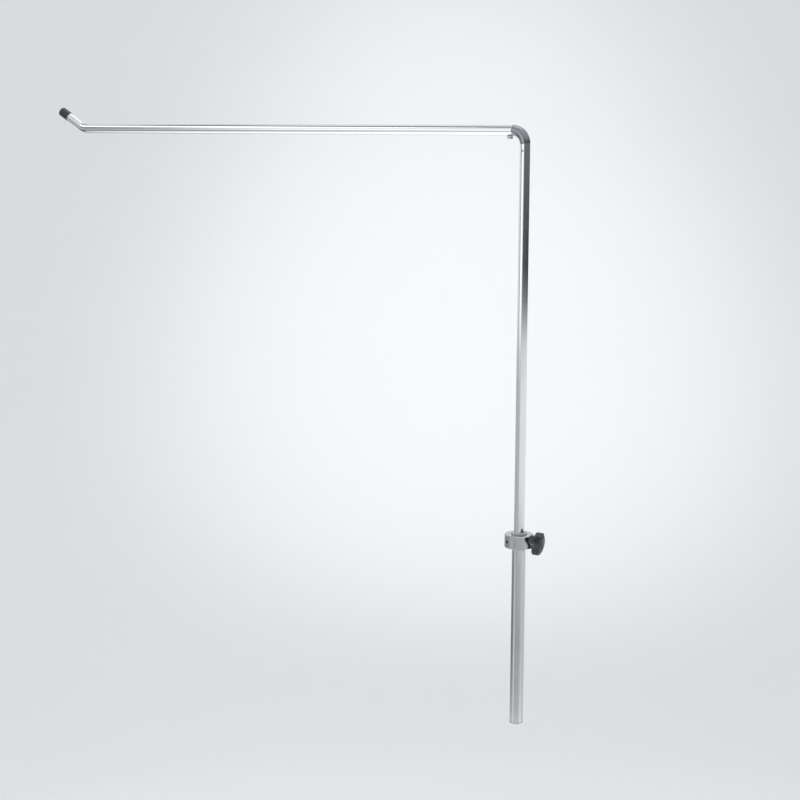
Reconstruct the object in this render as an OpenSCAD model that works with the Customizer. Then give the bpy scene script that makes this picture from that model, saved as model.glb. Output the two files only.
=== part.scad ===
// L-shaped screen frame for an operating table: a lower post that a rail clamp holds,
// an upright tube that slides and turns in it, and a long arm with an upturned end.
// The origin is the centre of the post's lower end. The post runs up +Z and the arm
// runs along -X. The clamp knob faces +X.

/* [Frame] */
// Height of the arm's centre line above the post's lower end
arm_height = 700; // [560:10:850]
// Distance from the post's axis to the corner of the upturned end
arm_reach = 646; // [400:2:760]
// Length of the upturned end, from its corner to the tip of the cap
tip_length = 45; // [35:1:70]
// Angle of the upturned end above the arm
tip_angle = 30; // [10:5:60]
// Centre-line radius of the bend into the upturned end
tip_bend_r = 26; // [20:1:30]
// Length of the black cap's head on the upturned end
cap_head = 16; // [3:0.5:20]
// Centre-line radius of the elbow between post and arm
elbow_r = 15; // [13:1:30]

/* [Tubes] */
// Outside diameter of the lower post, which sets the rail clamp's bore
post_d = 16; // [16:0.5:18]
// Wall of the lower post
post_wall = 1; // [1:0.1:1.2]
// Outside diameter of the upright tube and of the arm
rod_d = 12; // [10:0.5:12]
// Wall of the upright tube and of the arm
rod_wall = 1; // [0.8:0.1:1.5]

/* [Height adjustment] */
// How far the arm can be lowered from the height above
travel_down = 75; // [40:1:85]
// How far the arm can be raised from the height above
travel_up = 90; // [60:1:95]
// Gap left to each stop at the end of the travel
stop_gap = 0.3; // [0.3:0.1:1]

/* [Clamp collar] */
// Height of the clamp screw above the post's lower end
collar_z = 224; // [220:1:260]
// Outside diameter of the collar
collar_d = 34; // [26:1:36]
// Height of the collar
collar_h = 16; // [12:1:20]
// Depth of the seat turned on the tube's end, which the collar stops against
seat_depth = 0.2; // [0.2:0.05:0.3]
// Thickness of the collar's lip over the tube's end
lip_t = 3; // [2:0.5:4]
// Diameter of the guide bush's flange
flange_d = 19; // [18:1:22]
// Thickness of the guide bush's flange
flange_t = 1.5; // [1:0.5:3]

/* [Knob and screw] */
// Diameter over the knob's three lobes
knob_d = 30; // [28:1:36]
// Thickness of the knob
knob_t = 12.5; // [12:0.5:18]
// Gap between the collar and the knob's back face
knob_gap = 1.5; // [1:0.1:6]
// Gap between the collar and the knob's hub
hub_gap = 0.6; // [0.3:0.1:1]
// Radius of the end of each lobe
lobe_r = 5.6; // [5:0.1:7]
// Thread diameter of the clamp screw
screw_d = 6; // [6:1:8]
// Distance over the flats of the clamp screw's head
screw_head_flats = 10; // [10:1:11]
// Height of the clamp screw's head
screw_head_h = 4; // [3:0.5:5]
// Diameter of the knob's cover cap
knob_cap_d = 13.2; // [13:0.1:14]
// Diameter of the pressure pad
pad_d = 5; // [4.5:0.1:5.4]

/* [Fits] */
// Radial clearance of a running fit
running = 0.05; // [0.02:0.01:0.08]
// Clearance around a piece that only has to pass through
free_gap = 0.4; // [0.3:0.1:0.5]
// Width of the saw cut in the guide ring
ring_cut = 1.2; // [0.8:0.1:2]

/* [Small screws and pins] */
// Diameter of the spring pins
pin_d = 2.5; // [2:0.5:3]
// Thread diameter of the arm's lock screw and of the collar's grub screws
small_screw_d = 4; // [3:1:4]
// Diameter of the lock screw's head
lock_head_d = 6.5; // [6:0.5:7]
// Height of the lock screw's head
lock_head_h = 3.8; // [3:0.2:5]

/* [Hidden] */
$fn = 96;
e = 0.01;

post_r = post_d / 2;
bore_r = post_r - post_wall;
seat_r = post_r - seat_depth;
rod_r = rod_d / 2;
rod_bore_r = rod_r - rod_wall;
edge = 0.3;                                  // broken edge on tube ends and plugs

plug_flange_t = 2.5;
plug_spigot = 12;
buffer_t = 3;
buffer_top = plug_flange_t + plug_spigot + buffer_t;

// the rod plug, from its lower face up: shoulder, groove, shoulder, spigot
lower_shoulder = 3;
groove_h = 8;
upper_shoulder = 2;
rod_plug_z = buffer_top + travel_down + stop_gap;
groove_z = rod_plug_z + lower_shoulder;
rod_z = groove_z + groove_h + upper_shoulder;
spigot_l = 16;
shoulder_r = bore_r - free_gap;
groove_r = shoulder_r - 1.3;
ring_play = 0.15;

collar_bottom = collar_z - collar_h / 2;
collar_top = collar_z + collar_h / 2;
tube_top = collar_top - lip_t;
bush_z = rod_z + travel_up + stop_gap;
collar_edge = 0.8;

screw_r = screw_d / 2;
pad_r = pad_d / 2;
pad_back = seat_r + 0.7;
pad_stem_r = pad_r - 1;
pad_stem_l = 2.5;
screw_front = pad_back + 2 * running;
knob_back = collar_d / 2 + knob_gap;
knob_front = knob_back + knob_t;
knob_crown_r = 26;
knob_cap_t = 1.8;
head_x = knob_front - knob_cap_t - screw_head_h;
hub_r = 6.5;
hub_back = collar_d / 2 + hub_gap;
lobe_pitch_r = knob_d / 2 - lobe_r;
valley_pitch_r = knob_d / 2 + 3;
hollow_bite = 0.02;                          // how far a hollow cuts into the lobes beside it
valley_r = sqrt(pow(lobe_pitch_r, 2) + pow(valley_pitch_r, 2) - lobe_pitch_r * valley_pitch_r)
    - lobe_r + hollow_bite;

bend_thin = 0.03;                            // what drawing takes off each side of a bent wall
elbow_z = arm_height - elbow_r;
small_screw_r = small_screw_d / 2;
lock_x = elbow_r + 4;
pin_r = pin_d / 2;
pin_l = rod_d - 0.4;
plug_pin_z = rod_z + 8;
elbow_pin_z = elbow_z - 8;

tip_tangent = tip_bend_r * tan(tip_angle / 2);
arm_straight = arm_reach - tip_tangent;
cap_spigot = 12;
tip_straight = tip_length - tip_tangent - cap_head;

// A round bar along +Z from the origin, with its two edges broken by c0 and c1.
module bar(r, l, c0 = 0, c1 = 0) {
    rotate_extrude()
        polygon([[0, 0], [r - c0, 0], [r, c0], [r, l - c1], [r - c1, l], [0, l]]);
}

// A bent round bar that leaves the origin along +Z and turns towards +X. With a bore it
// is a bent tube.
module bend(r, path_r, angle, bore = 0) {
    translate([path_r, 0, 0]) rotate([90, 0, 0]) rotate([0, 0, 180 - angle])
        rotate_extrude(angle = angle) translate([path_r, 0]) difference() {
            circle(r = r);
            if (bore > 0) circle(r = bore);
        }
}

// Stands its children on the post's axis at arm height, with their +Z along the arm
// and their +X up.
module along_arm() {
    translate([0, 0, arm_height]) rotate([0, -90, 0]) children();
}

// Puts its children on the arm's upturned end, with their +Z out of the end.
module on_tip() {
    along_arm()
        translate([tip_bend_r * (1 - cos(tip_angle)), 0, arm_straight + tip_bend_r * sin(tip_angle)])
            rotate([0, tip_angle, 0]) children();
}

// Turns its children's +Z to +X, at the height of the clamp screw.
module along_screw() {
    translate([0, 0, collar_z]) rotate([0, 90, 0]) children();
}

// A hexagonal bar along +Z, measured over its flats.
module hex_bar(flats, l) {
    cylinder(d = flats / cos(30), h = l, $fn = 6);
}

// A spring pin across the tube, at a height on the post's axis.
module cross_pin(z, l) {
    translate([0, 0, z]) rotate([90, 0, 0]) cylinder(r = pin_r, h = l, center = true);
}

// ---------------------------------------------------------------- lower post

module lower_tube() {
    color("silver") difference() {
        union() {
            translate([0, 0, plug_flange_t]) cylinder(r = post_r, h = collar_bottom - plug_flange_t);
            translate([0, 0, collar_bottom - e]) bar(seat_r, tube_top - collar_bottom + e, 0, edge);
        }
        translate([0, 0, -e]) cylinder(r = bore_r, h = tube_top + 1);
        along_screw() cylinder(r = pad_r + running * 6, h = post_d);
    }
}

module bottom_plug() {
    color("silver") {
        bar(post_r, plug_flange_t, 0.4, 0);
        translate([0, 0, plug_flange_t - e]) bar(bore_r, plug_spigot + e, 0, 0.6);
    }
}

module bottom_buffer() {
    color("dimgray") translate([0, 0, plug_flange_t + plug_spigot])
        bar(bore_r - free_gap, buffer_t, edge, edge);
}

module clamp_collar() {
    color("gainsboro") difference() {
        translate([0, 0, collar_bottom]) bar(collar_d / 2, collar_h, collar_edge, collar_edge);
        translate([0, 0, collar_bottom - e]) cylinder(r = seat_r, h = tube_top - collar_bottom + e);
        translate([0, 0, collar_bottom - e]) cylinder(r = bore_r, h = collar_h + 1);
        along_screw() cylinder(r = screw_r + running, h = collar_d);
        for (turn = [120, 240]) grub_place(turn) cylinder(r = small_screw_r, h = collar_d);
    }
}

// A grub screw stands in the collar, turned from the knob by an angle, and its children's
// +Z points outwards.
module grub_place(turn) {
    rotate([0, 0, turn]) along_screw() children();
}

module grub_screw(turn) {
    length = collar_d / 2 - 0.7 - seat_r;
    color("dimgray") grub_place(turn) translate([0, 0, seat_r]) difference() {
        bar(small_screw_r, length, edge, edge);
        translate([0, 0, length - 2.5]) hex_bar(2, 3);
    }
}

module grub_screw_front() {
    grub_screw(240);
}

module grub_screw_back() {
    grub_screw(120);
}

module guide_bush() {
    color("darkgray") difference() {
        union() {
            translate([0, 0, bush_z]) bar(bore_r, collar_top - bush_z, edge, 0);
            translate([0, 0, collar_top]) bar(flange_d / 2, flange_t, 0, edge);
        }
        translate([0, 0, bush_z - 1]) cylinder(r = rod_r + running, h = collar_top + 5 - bush_z);
        along_screw() cylinder(r = pad_r + running * 6, h = post_d);
    }
}

// ---------------------------------------------------------------- clamp knob

module pressure_pad() {
    color("goldenrod") difference() {
        along_screw() {
            translate([0, 0, rod_r / 2]) cylinder(r = pad_r, h = pad_back - rod_r / 2);
            cylinder(r = pad_stem_r, h = pad_back + pad_stem_l);
        }
        cylinder(r = rod_r + running / 2, h = collar_top + 20);
    }
}

module clamp_screw() {
    color("silver") along_screw() difference() {
        union() {
            translate([0, 0, screw_front]) bar(screw_r, head_x - screw_front + e, edge, 0);
            translate([0, 0, head_x]) hex_bar(screw_head_flats, screw_head_h);
        }
        cylinder(r = pad_stem_r + running, h = pad_back + pad_stem_l + 2 * running);
    }
}

// Three lobes joined by round hollows, along +Z.
module knob_outline(l) {
    difference() {
        union() {
            linear_extrude(height = l)
                polygon([for (i = [0:5]) (i % 2 == 0 ? lobe_pitch_r : valley_pitch_r)
                    * [cos(60 * i), sin(60 * i)]]);
            for (a = [0, 120, 240]) rotate([0, 0, a]) translate([lobe_pitch_r, 0, 0])
                cylinder(r = lobe_r, h = l);
        }
        for (a = [60, 180, 300]) rotate([0, 0, a]) translate([valley_pitch_r, 0, -e])
            cylinder(r = valley_r, h = l + 2 * e);
    }
}

module knob() {
    color([0.09, 0.09, 0.1]) along_screw() difference() {
        union() {
            translate([0, 0, hub_back]) cylinder(r = hub_r, h = knob_back - hub_back + e);
            intersection() {
                translate([0, 0, knob_back]) knob_outline(knob_t);
                translate([0, 0, knob_back]) bar(knob_d / 2 + 1, knob_t + 1, 2, 0);
                translate([0, 0, knob_front - knob_crown_r]) sphere(r = knob_crown_r);
            }
        }
        cylinder(r = screw_r, h = knob_front + 1);
        translate([0, 0, head_x]) hex_bar(screw_head_flats, screw_head_h + e);
        translate([0, 0, knob_front - knob_cap_t]) cylinder(d = knob_cap_d, h = knob_cap_t + 1);
    }
}

module knob_cap() {
    color([0.2, 0.2, 0.21]) along_screw() intersection() {
        translate([0, 0, knob_front - knob_cap_t]) cylinder(d = knob_cap_d, h = knob_cap_t);
        translate([0, 0, knob_front - knob_crown_r]) sphere(r = knob_crown_r);
    }
}

// ---------------------------------------------------------------- upright

module guide_ring() {
    color("ivory") translate([0, 0, groove_z + ring_play]) difference() {
        bar(bore_r - running, groove_h - 2 * ring_play, edge, edge);
        translate([0, 0, -1]) cylinder(r = groove_r + running, h = groove_h + 2);
        translate([-ring_cut / 2, -post_d, -1]) cube([ring_cut, post_d, groove_h + 2]);
    }
}

module rod_plug() {
    color("dimgray") difference() {
        union() {
            translate([0, 0, rod_plug_z]) bar(shoulder_r, lower_shoulder, 1, 0);
            translate([0, 0, groove_z - e]) cylinder(r = groove_r, h = groove_h + 2 * e);
            translate([0, 0, rod_z - upper_shoulder]) cylinder(r = shoulder_r, h = upper_shoulder);
            translate([0, 0, rod_z - e]) bar(rod_bore_r, spigot_l + e, 0, 0.6);
        }
        cross_pin(plug_pin_z, post_d);
    }
}

module plug_pin() {
    color("silver") cross_pin(plug_pin_z, pin_l);
}

module upright_tube() {
    color("silver") difference() {
        translate([0, 0, rod_z]) bar(rod_r, elbow_z - rod_z, edge, edge);
        translate([0, 0, rod_z - 1]) cylinder(r = rod_bore_r, h = elbow_z - rod_z + 2);
        cross_pin(plug_pin_z, post_d);
        cross_pin(elbow_pin_z, post_d);
    }
}

// ---------------------------------------------------------------- elbow and arm

module elbow() {
    color("darkgray") difference() {
        union() {
            translate([0, 0, elbow_z]) mirror([1, 0, 0]) bend(rod_r, elbow_r, 90);
            translate([0, 0, elbow_z - spigot_l]) bar(rod_bore_r, spigot_l, 0.6, 0);
            along_arm() translate([0, 0, elbow_r]) bar(rod_bore_r, spigot_l, 0, 0.6);
        }
        cross_pin(elbow_pin_z, post_d);
        lock_place() translate([0, 0, 1]) cylinder(r = small_screw_r, h = rod_r);
    }
}

module elbow_pin() {
    color("silver") cross_pin(elbow_pin_z, pin_l);
}

// The lock screw stands under the arm, and its children's +Z points down out of it.
module lock_place() {
    translate([-lock_x, 0, arm_height]) rotate([180, 0, 0]) children();
}

module arm_tube() {
    color("silver") {
        along_arm() difference() {
            translate([0, 0, elbow_r]) bar(rod_r, arm_straight - elbow_r + e, edge, 0);
            translate([0, 0, elbow_r - 1]) cylinder(r = rod_bore_r, h = arm_straight - elbow_r + 2);
            translate([0, 0, lock_x]) rotate([0, -90, 0]) cylinder(r = small_screw_r + 0.1, h = rod_d);
        }
        along_arm() translate([0, 0, arm_straight])
            bend(rod_r - bend_thin, tip_bend_r, tip_angle, rod_bore_r + bend_thin);
        on_tip() difference() {
            translate([0, 0, -e]) bar(rod_r, tip_straight + e, 0, edge);
            translate([0, 0, -1]) cylinder(r = rod_bore_r, h = tip_straight + 2);
        }
    }
}

module arm_lock_screw() {
    color("silver") lock_place() difference() {
        union() {
            translate([0, 0, 1]) cylinder(r = small_screw_r, h = rod_r - 1 + e);
            translate([0, 0, rod_r]) bar(lock_head_d / 2, lock_head_h, 0, 0.5);
        }
        translate([0, 0, rod_r + lock_head_h - 2]) hex_bar(3, 3);
    }
}

module arm_end_cap() {
    color([0.09, 0.09, 0.1]) on_tip() translate([0, 0, tip_straight]) {
        bar(rod_r, cap_head, 0, 1.2);
        translate([0, 0, -cap_spigot]) bar(rod_bore_r, cap_spigot + e, 0.6, 0);
    }
}

lower_tube();
bottom_plug();
bottom_buffer();
clamp_collar();
grub_screw_front();
grub_screw_back();
guide_bush();
pressure_pad();
clamp_screw();
knob();
knob_cap();
guide_ring();
rod_plug();
plug_pin();
upright_tube();
elbow();
elbow_pin();
arm_tube();
arm_lock_screw();
arm_end_cap();
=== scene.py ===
import bpy
import numpy as np
from mathutils import Euler, Matrix, Vector


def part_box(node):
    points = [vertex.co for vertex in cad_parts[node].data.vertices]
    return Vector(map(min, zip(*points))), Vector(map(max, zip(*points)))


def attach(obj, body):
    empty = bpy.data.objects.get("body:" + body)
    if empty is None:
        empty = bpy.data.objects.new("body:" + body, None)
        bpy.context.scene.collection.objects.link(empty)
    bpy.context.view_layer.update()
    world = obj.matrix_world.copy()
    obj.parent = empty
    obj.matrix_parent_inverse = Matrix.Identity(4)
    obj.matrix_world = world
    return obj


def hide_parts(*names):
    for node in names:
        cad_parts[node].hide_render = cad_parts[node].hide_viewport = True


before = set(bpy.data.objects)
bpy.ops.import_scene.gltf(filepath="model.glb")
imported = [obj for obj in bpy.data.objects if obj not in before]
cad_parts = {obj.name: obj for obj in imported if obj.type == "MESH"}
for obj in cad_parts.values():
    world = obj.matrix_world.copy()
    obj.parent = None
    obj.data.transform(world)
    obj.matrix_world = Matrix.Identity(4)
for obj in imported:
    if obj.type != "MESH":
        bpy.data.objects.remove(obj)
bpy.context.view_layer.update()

mm = 0.001


# ------------------------------------------------------------------ camera
# A tripod camera with a short telephoto lens. It stands in front of the frame and to
# its right, level with the arm, and is tipped down to take in the lower post.
arm_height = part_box("elbow")[1].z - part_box("elbow")[1].y
camera_distance = 1.9
camera_side, tipped_down, heading, roll = np.radians((25.92, 9.33, 30.16, 0.2))
camera_data = bpy.data.cameras.new("tripod_camera")
camera_data.sensor_width = 36
camera_data.lens = 74.5
camera_data.clip_end = 50
camera = bpy.data.objects.new("tripod_camera", camera_data)
camera.location = (camera_distance * np.sin(camera_side),
                   -camera_distance * np.cos(camera_side), arm_height + 2 * mm)
aim = Euler((np.pi / 2 - tipped_down, 0, heading)).to_matrix() @ Matrix.Rotation(roll, 3, "Z")
camera.rotation_euler = aim.to_euler()
bpy.context.scene.collection.objects.link(camera)
bpy.context.scene.camera = camera
bpy.context.scene.view_settings.view_transform = "Standard"


# ------------------------------------------------------------------ studio floor
# A round studio floor that sweeps up into its own wall, plastered without a seam and
# painted matt off-white. The frame hangs clear of it, as its rail clamp isn't here.
def linear(colour, strength=1.0):
    """Linear RGBA of an sRGB hex colour: the sRGB curve undone channel by channel."""
    s = np.array([int(colour[i:i + 2], 16) for i in (1, 3, 5)]) / 255
    s = np.where(s <= 0.04045, s / 12.92, ((s + 0.055) / 1.055) ** 2.4) * strength
    return (*s, 1.0)


def add(tree, kind, inputs=(), **settings):
    """Adds one node: settings are its own properties, and each input takes a plain
    value or is linked to another node's output."""
    node = tree.nodes.new(kind)
    for key, value in settings.items():
        setattr(node, key, value)
    for key, value in dict(inputs).items():
        if isinstance(value, bpy.types.NodeSocket):
            tree.links.new(value, node.inputs[key])
        else:
            node.inputs[key].default_value = value
    return node


def surface(name, colour, roughness, metallic=0.0):
    """A named material, its node tree and its Principled shader, with a first colour,
    roughness and metallic value on the shader's own sockets."""
    material = bpy.data.materials.new(name)
    material.use_nodes = True
    shader = material.node_tree.nodes["Principled BSDF"]
    shader.inputs["Base Color"].default_value = linear(colour)
    shader.inputs["Roughness"].default_value = roughness
    shader.inputs["Metallic"].default_value = metallic
    return material, material.node_tree, shader


def rounded(corners, steps=6):
    """The profile through corners (radius, height, rounding): each rounded corner becomes
    a circular arc tangent to both sides, with a row just outside each end of the arc so
    that the flat beside it stays flat."""
    corners = np.array(corners, float)
    out = [corners[:1, :2]]
    for before, here, after in zip(corners[:-2], corners[1:-1], corners[2:]):
        p, r = here[:2], here[2]
        a, b = before[:2] - p, after[:2] - p
        a, b = a / np.linalg.norm(a), b / np.linalg.norm(b)
        if r == 0:
            out.append(p[None])
            continue
        half = np.arccos(np.clip(a @ b, -1, 1)) / 2
        centre = p + (a + b) / np.linalg.norm(a + b) * r / np.sin(half)
        start, end = p + a * r / np.tan(half), p + b * r / np.tan(half)
        t = np.linspace(0, 1, steps)[:, None]
        u, v = start - centre, end - centre
        sweep = np.pi - 2 * half
        arc = centre + (u * np.sin((1 - t) * sweep) + v * np.sin(t * sweep)) / np.sin(sweep)
        out += [(start + a * r * 0.2)[None], arc, (end + b * r * 0.2)[None]]
    out.append(corners[-1:, :2])
    return np.concatenate(out)


def turned(profile, columns=96):
    """A surface of revolution about +Z: the profile's radius goes round the axis at the
    profile's height, x = r cos t, y = r sin t."""
    r, z = profile[:, :1], profile[:, 1:2]
    t = np.linspace(0, 2 * np.pi, columns, endpoint=False)[None]
    return np.stack([r * np.cos(t), r * np.sin(t), z + 0 * t], -1)


def skin(name, grid, material, ring=False, closed=True):
    """A mesh object over a grid of points: rows run along the piece, and columns go round
    it and close on themselves. With ring the last row joins the first, and without it an
    end row that is one point becomes a pole. The UV map holds metres along and round."""
    rows, columns = grid.shape[:2]
    index = np.arange(rows * columns).reshape(rows, columns)
    for end in (0, -1):
        if not ring and np.ptp(grid[end], axis=0).max() < 1e-9:
            index[end] = index[end, 0]
    last = rows if ring else rows - 1
    i, j = np.mgrid[0:last, 0:columns]
    steps_i, steps_j = np.array([0, 0, 1, 1]), np.array([0, 1, 1, 0])
    i, j = i.reshape(-1, 1) + steps_i, j.reshape(-1, 1) + steps_j
    faces = index[i % rows, j % columns]
    wrapped = np.concatenate([grid, grid[:1]])
    along = np.append(0, np.cumsum(np.linalg.norm(np.diff(wrapped, axis=0), axis=2).mean(1)))
    girth = np.linalg.norm(grid - np.roll(grid, -1, 1), axis=2).sum(1).mean()
    uv = np.stack([along[i], j * girth / columns], -1)
    points = grid.reshape(-1, 3)
    a, b, c, d = (points[faces[:, k]] for k in range(4))
    volume = (a * (np.cross(b, c) + np.cross(c, d))).sum()
    if closed and volume < 0:
        faces, uv = faces[:, ::-1], uv[:, ::-1]
    keep = faces != np.roll(faces, 1, axis=1)
    used, loops = np.unique(faces[keep], return_inverse=True)
    counts = keep.sum(1)
    mesh = bpy.data.meshes.new(name)
    mesh.vertices.add(len(used))
    mesh.vertices.foreach_set("co", points[used].ravel())
    mesh.loops.add(len(loops))
    mesh.loops.foreach_set("vertex_index", loops.ravel())
    mesh.polygons.add(len(counts))
    mesh.polygons.foreach_set("loop_start", np.append(0, np.cumsum(counts)[:-1]))
    mesh.uv_layers.new(name="UVMap").data.foreach_set("uv", uv[keep].ravel())
    mesh.update(calc_edges=True)
    mesh.shade_smooth()
    mesh.materials.append(material)
    piece = bpy.data.objects.new(name, mesh)
    bpy.context.scene.collection.objects.link(piece)
    return piece


floor_z, studio_r, studio_top, sweep_r = -0.75, 3.8, 3.4, 1.5
studio_paint = surface("matt_studio_paint", "#f1f1f2", 0.9)[0]
sweep = rounded([(0, floor_z, 0), (studio_r, floor_z, sweep_r), (studio_r, studio_top, 0)], 24)
studio = skin("studio_floor", turned(sweep, 128), studio_paint, closed=False)


# ------------------------------------------------------------------ reflection drum
# Polished tube shows nothing but what stands round it. This closed drum is the set of cards
# that a product studio puts up for that: a white side, a dark side, a white top and a grey
# floor. Only reflections see it, so it neither lights nor shades the floor.
def ease(start, end, x):
    """0 up to start and 1 from end on, with a smooth cubic between them."""
    t = np.clip((x - start) / (end - start), 0, 1)
    return t * t * (3 - 2 * t)


def card_light(points):
    """How bright the drum is at each point, from the point's bearing and height: a white
    card on the left, a dark one from the front round to the right, and grey low down. Small
    dark cards on the left stand where only the bend of the upturned end mirrors them."""
    x, y, z = points.T
    radius = np.hypot(x, y)
    # Degrees round the drum, anticlockwise from above, from just past the arm's direction.
    past = (np.degrees(np.arctan2(y, x)) - 200) % 360
    # The wall: a grey back, the white card, and the dark card from the front to the right,
    # which fades out low down and high up.
    back = 0.6 - 0.35 * ease(0.55, 0.75, z)
    white = back + (1.6 - back) * ease(20, 32, past)
    white += (0.9 - white) * ease(62, 74, past) + 0.1 * ease(200, 260, past)
    dark = ease(70, 86, past) * (1 - ease(235, 262, past))
    shade = 0.06 + 0.16 * ease(0.35, 0.7, z)
    wall = white + (shade - white) * dark * ease(0.04, 0.25, z) * (1 - ease(1.3, 1.9, z))
    low = 0.62 + 0.5 * ease(60, 90, past) * (1 - ease(225, 260, past))
    wall = low + (wall - low) * ease(-0.02, 0.16, z)
    # The first dark card for the bend, and the white card's calmer top.
    wall = wall * (1 - 0.85 * ease(1.8, 2.2, z) * ease(6, 14, past) * (1 - ease(27, 31, past)))
    wall = wall + (np.minimum(wall, 0.95) - wall) * ease(1.3, 1.6, z)
    # The top: white, with the second dark card for the bend over its left end.
    corner = (1 - ease(-1.5, -1.25, x)) * (1 - ease(-0.35, -0.15, y))
    top = 1.1 - 0.9 * np.maximum(corner, 1 - ease(-2.65, -2.3, x))
    wall = np.where(z > drum_top + 0.01, top, wall)
    # The floor: white under the arm, grey farther out, and darker off the arm's free end.
    near = 0.65 + 0.95 * ease(-2.1, -1.75, x)
    outer = 0.45 + 0.3 * ease(110, 170, past) * (1 - ease(290, 310, past))
    outer = outer + 0.45 * ease(18, 26, past) * (1 - ease(40, 48, past))
    aside = 0.2 * ease(0.3, 0.7, np.abs(y))
    floor = near + (outer - near) * ease(1.9, 2.08, radius + aside)
    off_left = np.abs((past + 197) % 360 - 180)
    floor = floor * (1 - 0.5 * ease(2.15, 2.35, radius) * (1 - ease(18, 30, off_left)))
    return floor + (wall - floor) * ease(-0.64, -0.38, z)


drum_radius, drum_top = 3.0, 3.6
cards = bpy.data.materials.new("reflection_cards")
cards.use_nodes = True
cards.node_tree.nodes.clear()
glow = add(cards.node_tree, "ShaderNodeEmission", {
    "Color": linear("#f6f9fc"),
    "Strength": add(cards.node_tree, "ShaderNodeAttribute", attribute_name="light").outputs["Fac"],
})
add(cards.node_tree, "ShaderNodeOutputMaterial", {"Surface": glow.outputs[0]})
cards.cycles.emission_sampling = "NONE"
# The drum's floor follows the studio's sweep, 20 mm above it.
drum_r = np.linspace(0.5, drum_radius, 50)
past_flat = np.maximum(drum_r - (studio_r - sweep_r), 0)
drum_low = floor_z + 0.02 + sweep_r - np.sqrt(sweep_r**2 - past_flat**2)
drum_profile = np.concatenate([
    np.stack([drum_r, drum_low], 1),
    np.stack([np.full(144, drum_radius), np.linspace(drum_low[-1] + 0.01, drum_top, 144)], 1),
    np.stack([np.linspace(drum_radius - 0.01, 0, 50), np.full(50, drum_top + 0.02)], 1),
])
drum = skin("reflection_drum", turned(drum_profile, 180), cards, closed=False)
drum_points = np.empty(len(drum.data.vertices) * 3)
drum.data.vertices.foreach_get("co", drum_points)
light = drum.data.attributes.new("light", "FLOAT", "POINT")
light.data.foreach_set("value", card_light(drum_points.reshape(-1, 3)).astype(np.float32))
drum.visible_camera = drum.visible_diffuse = drum.visible_shadow = False
drum.visible_transmission = drum.visible_volume_scatter = False


# ------------------------------------------------------------------ studio lights
# Three large softboxes, a spot and an even sky: one box overhead, one high on the left and
# one on the wall behind the frame, where the spot makes a soft pool of light. In
# reflections the drum's top takes the overhead box's place.
def softbox(name, place, aim, size, watts):
    """A square area light at a place, turned to face the point it is aimed at."""
    data = bpy.data.lights.new(name, "AREA")
    data.shape, data.size, data.energy = "SQUARE", size, watts
    data.color = linear("#fbfdff")[:3]
    box = bpy.data.objects.new(name, data)
    box.location = place
    box.rotation_euler = (Vector(aim) - Vector(place)).to_track_quat("-Z", "Y").to_euler()
    box.visible_camera = False
    bpy.context.scene.collection.objects.link(box)
    return box


overhead = softbox("overhead_softbox", (-0.3, -0.2, 3.2), (-0.3, 0, 0), 3.4, 42)
overhead.visible_glossy = False
softbox("left_softbox", (-2.2, -1.6, 2.4), (-0.2, 0, 0.4), 1.4, 12)
softbox("wall_softbox", (-0.2, 0.6, 3.0), (-1.8, 3.2, -0.3), 1.6, 14)
spot_data = bpy.data.lights.new("wall_spot", "SPOT")
spot_data.energy, spot_data.spot_size, spot_data.spot_blend = 150, np.radians(44), 1.0
spot_data.shadow_soft_size = 0.3
spot = bpy.data.objects.new("wall_spot", spot_data)
spot.location = (-1.0, 1.5, 3.0)
to_wall = Vector((-1.8, 3.3, -0.3)) - spot.location
spot.rotation_euler = to_wall.to_track_quat("-Z", "Y").to_euler()
bpy.context.scene.collection.objects.link(spot)
world = bpy.data.worlds.new("even_sky")
world.use_nodes = True
sky = world.node_tree.nodes["Background"]
sky.inputs["Color"].default_value = linear("#f3f6f9")
sky.inputs["Strength"].default_value = 0.52
bpy.context.scene.world = world


# ------------------------------------------------------------------ lower tube
# The post that the table's rail clamp grips: drawn stainless tube of 16 mm, ground
# without centres and polished round, which leaves faint rings all along it.
def polished(name, colour, roughness, coordinate, scale):
    """Polished steel whose polishing lines run round the tube. The scale turns metres
    into lines: large along the tube and small across it."""
    metal, tree, shader = surface(name, colour, roughness, 1.0)
    place = add(tree, "ShaderNodeTexCoord").outputs[coordinate]
    lines = add(tree, "ShaderNodeMapping", {"Vector": place, "Scale": scale})
    grit = add(tree, "ShaderNodeTexNoise", {
        "Vector": lines.outputs[0], "Scale": 1.0, "Detail": 4.0, "Roughness": 0.6})
    hands = add(tree, "ShaderNodeTexNoise", {"Vector": place, "Scale": 14.0, "Detail": 3.0})
    wear = add(tree, "ShaderNodeMapRange", {
        "Value": hands.outputs["Fac"], "From Min": 0.35, "From Max": 0.7,
        "To Min": roughness * 0.8, "To Max": roughness * 1.3})
    rough = add(tree, "ShaderNodeMath", {0: grit.outputs["Fac"], 1: 0.05, 2: wear.outputs[0]},
                operation="MULTIPLY_ADD")
    tree.links.new(rough.outputs[0], shader.inputs["Roughness"])
    tone = add(tree, "ShaderNodeMix", {
        0: hands.outputs["Fac"], 6: linear(colour), 7: linear(colour, 0.93)}, data_type="RGBA")
    tree.links.new(tone.outputs[2], shader.inputs["Base Color"])
    relief = add(tree, "ShaderNodeBump", {
        "Height": grit.outputs["Fac"], "Strength": 0.12, "Distance": 0.05 * mm})
    tree.links.new(relief.outputs[0], shader.inputs["Normal"])
    return metal


def paint(node, material):
    """Gives a CAD node the finish that its real piece has."""
    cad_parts[node].material_slots[0].material = material


# Bright, with a faint blur round the tube. Real polishing lines lie 0.05 mm apart; they are
# drawn 0.5 mm apart, so that they show.
paint("lower_tube", polished("polished_stainless_post", "#d4d5d6", 0.16, "Object", (30, 30, 2000)))


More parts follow.
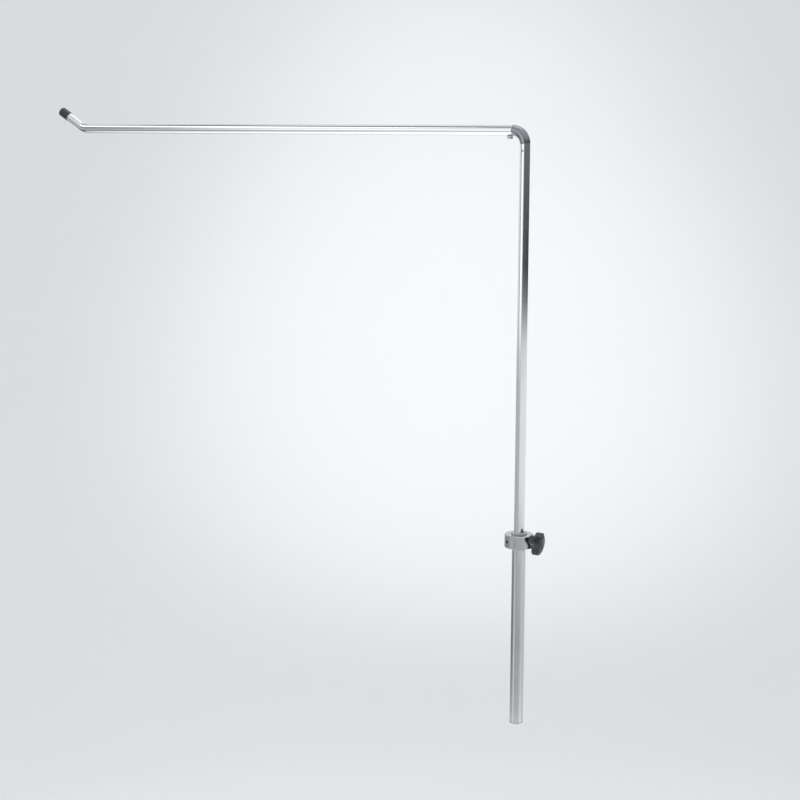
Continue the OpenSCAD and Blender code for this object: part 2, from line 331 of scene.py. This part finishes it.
# ------------------------------------------------------------------ bottom plug
# A turned stainless plug pressed into the post's lower end. Its rim is rounded, so that
# the post drops easily into the rail clamp, and its face keeps the lathe's centre mark.
# Greyer and less sharp than the tube, as the lathe leaves it: its lines are 0.6 mm apart
# here, and 0.1 mm in reality.
turned_metal = polished("turned_stainless", "#bcbdbf", 0.22, "Object", (40, 40, 1600))
plug_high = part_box("bottom_plug")[1]
plug_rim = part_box("lower_tube")[0].z
plug_r, tube_wall = plug_high.x, 1 * mm
plug_spigot_r = plug_r - tube_wall
plug_profile = rounded([
    (0, 1.1 * mm, 0), (1.1 * mm, 0, 0.15 * mm), (plug_r, 0, 0.55 * mm),
    (plug_r, plug_rim, 0.12 * mm), (plug_spigot_r, plug_rim, 0),
    (plug_spigot_r, plug_high.z, 0.6 * mm), (0, plug_high.z, 0)])
bottom_plug = skin("bottom_plug_turned", turned(plug_profile), turned_metal)
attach(bottom_plug, "post")
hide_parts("bottom_plug")


# ------------------------------------------------------------------ bottom buffer
# A disc of black nitrile rubber on top of the plug, that the upright comes down on. It is
# moulded, so its skin is matt and finely pitted.
def moulded(name, colour, roughness, grain, depth):
    """Moulded rubber or plastic: a matt skin whose grain has the given width, and patches
    where handling has made it glossier."""
    plastic, tree, shader = surface(name, colour, roughness)
    place = add(tree, "ShaderNodeTexCoord").outputs["Object"]
    pits = add(tree, "ShaderNodeTexNoise", {
        "Vector": place, "Scale": 1 / grain, "Detail": 2.0, "Roughness": 0.5})
    handled = add(tree, "ShaderNodeTexNoise", {"Vector": place, "Scale": 60.0, "Detail": 2.0})
    rough = add(tree, "ShaderNodeMapRange", {
        "Value": handled.outputs["Fac"], "From Min": 0.3, "From Max": 0.7,
        "To Min": roughness * 0.85, "To Max": roughness * 1.15})
    tree.links.new(rough.outputs[0], shader.inputs["Roughness"])
    tone = add(tree, "ShaderNodeMix", {
        0: pits.outputs["Fac"], 6: linear(colour, 0.8), 7: linear(colour, 1.25)}, data_type="RGBA")
    tree.links.new(tone.outputs[2], shader.inputs["Base Color"])
    relief = add(tree, "ShaderNodeBump", {
        "Height": pits.outputs["Fac"], "Strength": 0.5, "Distance": depth})
    tree.links.new(relief.outputs[0], shader.inputs["Normal"])
    return plastic


paint("bottom_buffer", moulded("nitrile_rubber", "#1a1a1a", 0.8, 0.4 * mm, 0.04 * mm))


# ------------------------------------------------------------------ clamp collar
# A ring turned from stainless bar, pushed over the post's upper end and held by two grub
# screws. Its edges are chamfered and its side shows the lathe's fine lines.
paint("clamp_collar", turned_metal)


# ------------------------------------------------------------------ collar grub screws
# Two hardened set screws with hexagon sockets, blackened, sunk just under the collar's
# side a third of a turn from the knob.
def hexagon(flats, columns):
    """Radius of a hexagonal hole all round it: half the width over the flats, divided by
    the cosine of the angle to the nearest flat's middle."""
    t = np.linspace(0, 2 * np.pi, columns, endpoint=False)
    return flats / 2 / np.cos((t + np.pi / 6) % (np.pi / 3) - np.pi / 6)


def socketed(profile, flats, depth, columns):
    """A turned screw whose top face, at the profile's end, runs in to a hexagon socket: the
    face narrows from the round to the hexagon, which then goes straight down."""
    body = turned(profile, columns)
    t = np.linspace(0, 2 * np.pi, columns, endpoint=False)
    top = profile[-1, 1]
    hexa = hexagon(flats, columns)
    rows = [(hexa + 0.15 * mm, top), (hexa, top - 0.15 * mm), (hexa * 0.998, top - depth),
            (hexa * 0.9, top - depth - 0.05 * mm), (hexa * 0, top - depth - 0.5 * mm)]
    rows = [np.stack([r * np.cos(t), r * np.sin(t), np.full(columns, z)], -1) for r, z in rows]
    return np.concatenate([body, np.array(rows)])


def aimed(grid, origin, along, across):
    """Carries a grid from its own axes to a place: its +Z goes to along, its +X to across."""
    along, across = np.array(along, float), np.array(across, float)
    return grid @ np.array([across, np.cross(along, across), along]) + np.array(origin)


# A dry black oxide that only glints along the edges, over a fine ground grain.
blackened = polished("blackened_steel", "#2a2a2c", 0.42, "Object", (900, 900, 900))
knob_z = (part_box("clamp_screw")[0].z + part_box("clamp_screw")[1].z) / 2
grub_r, grub_seat, grub_flats, socket_deep = 2 * mm, 7.8 * mm, 2 * mm, 2.2 * mm
grub_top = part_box("clamp_collar")[1].x - 0.7 * mm
grub_profile = rounded([
    (0, grub_seat, 0), (grub_r, grub_seat, 0.3 * mm), (grub_r, grub_top, 0.3 * mm),
    (1.5 * mm, grub_top, 0)])
for node, turn in (("grub_screw_front", 240), ("grub_screw_back", 120)):
    outwards = (np.cos(np.radians(turn)), np.sin(np.radians(turn)), 0)
    grub_screw = socketed(grub_profile, grub_flats, socket_deep, 72)
    grub = skin(f"{node}_turned", aimed(grub_screw, (0, 0, knob_z), outwards, (0, 0, 1)), blackened)
    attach(grub, "post")
    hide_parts(node)


# ------------------------------------------------------------------ guide bush
# A light grey acetal bush pressed into the post's upper end, with a thin flange on the
# collar. The upright runs in it, and its turned face is slightly waxy.
paint("guide_bush", moulded("grey_acetal", "#a9a9a6", 0.4, 0.3 * mm, 0.01 * mm))


# ------------------------------------------------------------------ pressure pad
# A brass pin between the screw and the upright, hollowed to the tube so that it doesn't
# mark it.
# Warm yellow, with the lathe's rings round the pin, a little dulled by handling.
paint("pressure_pad", polished("turned_brass", "#c8a45a", 0.3, "Object", (1500, 60, 60)))


# ------------------------------------------------------------------ clamp screw
# A zinc-plated hexagon screw whose head is moulded round by the knob.
# Pale grey and half bright, with a faint grain round the shank.
paint("clamp_screw", polished("zinc_plated_steel", "#bfc0bd", 0.34, "Object", (1500, 60, 60)))


# ------------------------------------------------------------------ knob
# A three-lobed knob of black glass-filled nylon, moulded round the screw. Its edges are
# rounded for the fingers, its face is crowned, and its skin is finely spark-eroded.
hub_end, knob_face, cap_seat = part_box("knob")[0].x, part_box("knob_cap")[1].x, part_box("knob_cap")[0].x
lobe_r, lobe_pitch, valley_pitch = 5.6 * mm, 9.4 * mm, 18 * mm
valley_r = np.sqrt(lobe_pitch**2 + valley_pitch**2 - lobe_pitch * valley_pitch) - lobe_r
crown_r, hub_r, knob_back = 26 * mm, 6.5 * mm, hub_end + 0.9 * mm
hub_edge, back_edge, front_edge, parting = 0.4 * mm, 1.2 * mm, 0.9 * mm, 6 * mm
cap_r, bolt_r, bolt_head_r, bolt_head_h = 6.6 * mm, 3 * mm, 5.78 * mm, 4 * mm
knob_turns = np.linspace(0, 2 * np.pi, 192, endpoint=False)


def lobed(inset):
    """Radius of the knob's outline all round it, moved inwards by inset: the lobe's circle
    as far as the hollow's circle that it runs tangent into."""
    t = np.abs((knob_turns + np.pi / 3) % (2 * np.pi / 3) - np.pi / 3)
    lobe, hollow = lobe_r - inset, valley_r + inset
    out = lobe_pitch * np.cos(t) + np.sqrt(np.maximum(lobe**2 - (lobe_pitch * np.sin(t))**2, 0))
    v = np.pi / 3 - t
    cut = hollow**2 - (valley_pitch * np.sin(v))**2
    inner = valley_pitch * np.cos(v) - np.sqrt(np.maximum(cut, 0))
    touch_x = lobe_pitch + (valley_pitch / 2 - lobe_pitch) * lobe / (lobe + hollow)
    touch_y = valley_pitch * np.sin(np.pi / 3) * lobe / (lobe + hollow)
    return np.where(t < np.arctan2(touch_y, touch_x), out, inner)


def crown(r):
    """Height of the knob's face at a radius: a sphere through the middle of the face."""
    return knob_face - crown_r + np.sqrt(crown_r**2 - r**2)


def knob_surface():
    """Rows of (radius all round, height): the hub, the back, the rounded back edge, the
    side with its fine parting line, the rounded front edge, the crowned face and the seats
    of the cap and the screw's head."""
    flat = np.ones(len(knob_turns))
    rows = [(bolt_r * flat, hub_end * flat), ((hub_r - hub_edge) * flat, hub_end * flat)]
    for t in np.linspace(0, np.pi / 2, 5):
        rows.append(((hub_r - hub_edge * (1 - np.sin(t))) * flat,
                     (hub_end + hub_edge * (1 - np.cos(t))) * flat))
    rows += [(hub_r * flat, (knob_back - 0.05 * mm) * flat),
             ((hub_r + 0.05 * mm) * flat, knob_back * flat),
             ((lobed(back_edge) + hub_r) / 2, knob_back * flat),
             (lobed(back_edge * 1.1), knob_back * flat)]
    for t in np.linspace(0, np.pi / 2, 8):
        rows.append((lobed(back_edge * (1 - np.sin(t))),
                     knob_back + back_edge * (1 - np.cos(t)) * flat))
    for height, proud in ((1.5 * mm, 0), (parting - 0.25 * mm, 0), (parting, 0.08 * mm),
                          (parting + 0.25 * mm, 0)):
        rows.append((lobed(-proud), (knob_back + height) * flat))
    for t in np.linspace(0, np.pi / 2, 8):
        r = lobed(front_edge * (1 - np.cos(t)))
        rows.append((r, crown(r) - front_edge * (1 - np.sin(t))))
    rim = cap_r + 0.2 * mm
    for share in np.linspace(0, 1, 8)[1:]:
        r = lobed(front_edge) * (1 - share) + rim * share
        rows.append((r, crown(r)))
    bolt_head = cap_seat - bolt_head_h
    rows += [(cap_r * flat, crown(rim) - 0.2 * mm * flat), (cap_r * flat, cap_seat * flat),
             (bolt_head_r * flat, cap_seat * flat), (bolt_head_r * flat, bolt_head * flat),
             (bolt_r * flat, bolt_head * flat)]
    r, x = (np.array(column) for column in zip(*rows))
    return np.stack([r * np.cos(knob_turns), r * np.sin(knob_turns), x], -1)


knob_nylon = moulded("black_filled_nylon", "#27272a", 0.42, 0.35 * mm, 0.03 * mm)
knob = skin("knob_moulding", aimed(knob_surface(), (0, 0, knob_z), (1, 0, 0), (0, 0, -1)),
            knob_nylon, ring=True)
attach(knob, "clamp_knob")
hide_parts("knob")


# ------------------------------------------------------------------ knob cap
# A glossy black ABS cap snapped over the screw's head. It carries on the knob's crown, with
# a fine gap round it.
cap_edge_r, cap_round = cap_r - 0.06 * mm, 0.25 * mm
dome_r = np.linspace(cap_edge_r - cap_round, 0, 16)
cap_profile = np.concatenate([
    rounded([(0, cap_seat, 0), (cap_edge_r, cap_seat, 0.1 * mm),
             (cap_edge_r, crown(cap_edge_r), cap_round),
             (dome_r[0] - 0.2 * mm, crown(dome_r[0]), 0)])[:-1],
    np.stack([dome_r[2:], crown(dome_r[2:])], 1)])
cap_grid = aimed(turned(cap_profile, 72), (0, 0, knob_z), (1, 0, 0), (0, 0, -1))
knob_cap = skin("knob_cap_moulding", cap_grid,
                moulded("gloss_black_abs", "#242427", 0.2, 0.8 * mm, 0.002 * mm))
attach(knob_cap, "clamp_knob")
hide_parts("knob_cap")


# ------------------------------------------------------------------ guide ring and rod plug
# Inside the post: a split ring of natural acetal, in a groove of the black nylon plug that
# closes the upright's lower end. A spring pin holds the plug.
paint("guide_ring", moulded("natural_acetal", "#ece8dd", 0.4, 0.5 * mm, 0.01 * mm))
paint("rod_plug", knob_nylon)
# Grey and half bright, drawn lines running round the pin.
spring_steel = polished("spring_steel", "#8f9092", 0.32, "Object", (60, 1500, 60))
paint("plug_pin", spring_steel)


# ------------------------------------------------------------------ upright tube
# Drawn stainless tube of 12 mm, polished round to a mirror, as it slides in the bush.
upright_metal = polished("polished_stainless_upright", "#dcddde", 0.1, "Object", (30, 30, 2000))
paint("upright_tube", upright_metal)


# ------------------------------------------------------------------ elbow
# A solid bend of cast stainless, polished, with a spigot in each tube. It is held in the
# upright by a spring pin, and a fine seam shows where each tube meets it.
def bent(s, start, heading, legs):
    """Points and side vectors along a path in the XZ plane: each leg is a length and a
    curvature, and the heading, measured from +Z towards -X, grows by curvature times
    length. A leg's points are the integral of its heading's direction."""
    point, begin = np.array(start, float), 0.0
    places, headings = np.zeros((len(s), 3)), np.full(len(s), float(heading))
    for number, (length, curvature) in enumerate(legs):
        inside = (s >= begin - 1e-12) if number else np.full(len(s), True)
        ds = s[inside] - begin
        turn = heading + curvature * ds
        if curvature:
            x = (np.cos(turn) - np.cos(heading)) / curvature
            z = (np.sin(turn) - np.sin(heading)) / curvature
            end = ((np.cos(heading + curvature * length) - np.cos(heading)) / curvature,
                   (np.sin(heading + curvature * length) - np.sin(heading)) / curvature)
        else:
            x, z = -np.sin(heading) * ds, np.cos(heading) * ds
            end = (-np.sin(heading) * length, np.cos(heading) * length)
        places[inside] = point + np.stack([x, 0 * x, z], -1)
        headings[inside] = turn
        point = point + np.array([end[0], 0, end[1]])
        heading, begin = heading + curvature * length, begin + length
    return places, np.stack([-np.cos(headings), 0 * headings, -np.sin(headings)], -1)


def carried(profile, path, columns=72):
    """A profile of (radius, distance along the path) carried along it: each row is a circle
    of that radius, square to the path at that distance."""
    places, sides = bent(profile[:, 1], *path)
    t = np.linspace(0, 2 * np.pi, columns, endpoint=False)[None, :, None]
    across = sides[:, None] * np.cos(t) + np.array([0.0, 1, 0]) * np.sin(t)
    return places[:, None] + profile[:, :1, None] * across


rod_r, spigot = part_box("elbow")[1].y, 16 * mm
bore_r = rod_r - tube_wall
elbow_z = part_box("upright_tube")[1].z
bend_r = arm_height - elbow_z
quarter = np.pi / 2 * bend_r
elbow_end = spigot + quarter
seam, lead = 0.28 * mm, 0.6 * mm
elbow_profile = np.concatenate([
    rounded([(0, 0, 0), (bore_r, 0, 0.6 * mm), (bore_r, spigot, 0),
             (rod_r, spigot, seam), (rod_r, spigot + lead, 0)])[:-1],
    np.stack([np.full(36, rod_r), np.linspace(spigot + lead, elbow_end - lead, 36)], 1),
    rounded([(rod_r, elbow_end - lead, 0), (rod_r, elbow_end, seam), (bore_r, elbow_end, 0),
             (bore_r, elbow_end + spigot, 0.6 * mm), (0, elbow_end + spigot, 0)])[1:]])
elbow_path = ((0, 0, elbow_z - spigot), 0.0, [(spigot, 0), (quarter, 1 / bend_r), (spigot, 0)])
# Softer than drawn tube, as a casting is polished by hand, along its bend. Its colour is painted darker:
# a painted dark reflection on the bend.
cast_metal_painted_dark = polished("polished_cast_stainless_painted_dark", "#8b8c8f", 0.25, "UV", (700, 60, 1))
elbow = skin("elbow_casting", carried(elbow_profile, elbow_path), cast_metal_painted_dark)
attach(elbow, "screen")
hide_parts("elbow")
paint("elbow_pin", spring_steel)


# ------------------------------------------------------------------ arm
# Drawn stainless tube of 12 mm, polished round, with its free end bent up by 30 degrees on
# a 26 mm former so that drapes stay on it.
reach, tip_length, tip_angle = 646 * mm, 45 * mm, np.radians(30)
tip_bend_r, cap_head = 26 * mm, 16 * mm
tangent = tip_bend_r * np.tan(tip_angle / 2)
straight = reach - tangent - bend_r
tip_bend = tip_bend_r * tip_angle
tip_straight = tip_length - tangent - cap_head
arm_length = straight + tip_bend + tip_straight
arm_path = ((-bend_r, 0, arm_height), np.pi / 2,
            [(straight, 0), (tip_bend, -1 / tip_bend_r), (tip_straight + 20 * mm, 0)])
stations = np.concatenate([
    np.linspace(2 * mm, straight, 24), straight + np.linspace(0, tip_bend, 20)[1:],
    straight + tip_bend + np.linspace(0, tip_straight - 2 * mm, 5)[1:]])
arm_profile = np.concatenate([
    rounded([(bore_r, 1 * mm, 0), (bore_r, 0, 0.1 * mm), (rod_r, 0, seam),
             (rod_r, 2 * mm, 0)])[:-1],
    np.stack([np.full(len(stations), rod_r), stations], 1),
    rounded([(rod_r, arm_length - 2 * mm, 0), (rod_r, arm_length, 0.2 * mm),
             (bore_r, arm_length, 0.1 * mm), (bore_r, arm_length - 1 * mm, 0)])[1:],
    np.stack([np.full(len(stations), bore_r), stations[::-1]], 1)])
arm_metal = polished("polished_stainless_arm", "#dcddde", 0.1, "UV", (2000, 30, 1))
arm = skin("arm_drawn_tube", carried(arm_profile, arm_path), arm_metal, ring=True)
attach(arm, "screen")
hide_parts("arm_tube")


# ------------------------------------------------------------------ arm lock screw
# A stainless socket screw up through the arm's underside into the elbow's spigot. Its head
# is knurled with 36 fine teeth.
lock_low, lock_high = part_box("arm_lock_screw")
head_r, head_low, head_top = lock_high.y, rod_r + 0.01 * mm, arm_height - lock_low.z
shank_r = 2 * mm
knurl_low, knurl_top, step = head_low + 0.7 * mm, head_top - 0.89 * mm, 0.01 * mm
lock_profile = rounded([
    (0, 1 * mm, 0), (shank_r, 1 * mm, 0), (shank_r, head_low, 0), (head_r, head_low, 0.2 * mm),
    (head_r, knurl_low, 0), (head_r, knurl_low + step, 0), (head_r, knurl_top - step, 0),
    (head_r, knurl_top, 0), (head_r, head_top, 0.5 * mm), (2.2 * mm, head_top, 0)])
lock_flats, teeth, tooth_columns = 3 * mm, 36, 216
lock_grid = socketed(lock_profile, lock_flats, 2 * mm, tooth_columns)
tooth = 0.5 + 0.5 * np.cos(teeth * np.linspace(0, 2 * np.pi, tooth_columns, endpoint=False))
row_r, row_z = np.hypot(lock_grid[:, 0, 0], lock_grid[:, 0, 1]), lock_grid[:, 0, 2]
knurled = (row_r > head_r - 1e-6) & (row_z > knurl_low + step / 2) & (row_z < knurl_top - step / 2)
lock_grid[knurled, :, :2] *= (1 - 0.03 * tooth)[:, None]
lock_x = (lock_low.x + lock_high.x) / 2
# Bright, with the lathe's rings round the head.
screw_metal = polished("stainless_screw", "#b9babb", 0.26, "Object", (60, 60, 1500))
lock_screw = skin("arm_lock_screw_turned",
                  aimed(lock_grid, (lock_x, 0, arm_height), (0, 0, -1), (1, 0, 0)), screw_metal)
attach(lock_screw, "screen")
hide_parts("arm_lock_screw")


# ------------------------------------------------------------------ arm end cap
# A black polyethylene cap pressed into the arm's free end. Its head has a well rounded rim
# and is a little shiny from handling.
cap_spigot = 12 * mm
end_profile = rounded([
    (0, arm_length - cap_spigot, 0), (bore_r, arm_length - cap_spigot, 0.6 * mm),
    (bore_r, arm_length, 0), (rod_r, arm_length, 0.15 * mm),
    (rod_r, arm_length + cap_head, 1.6 * mm), (0, arm_length + cap_head, 0)], steps=9)
end_cap = skin("arm_end_cap_moulding", carried(end_profile, arm_path),
               moulded("black_polyethylene", "#232325", 0.3, 0.5 * mm, 0.01 * mm))
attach(end_cap, "screen")
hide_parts("arm_end_cap")
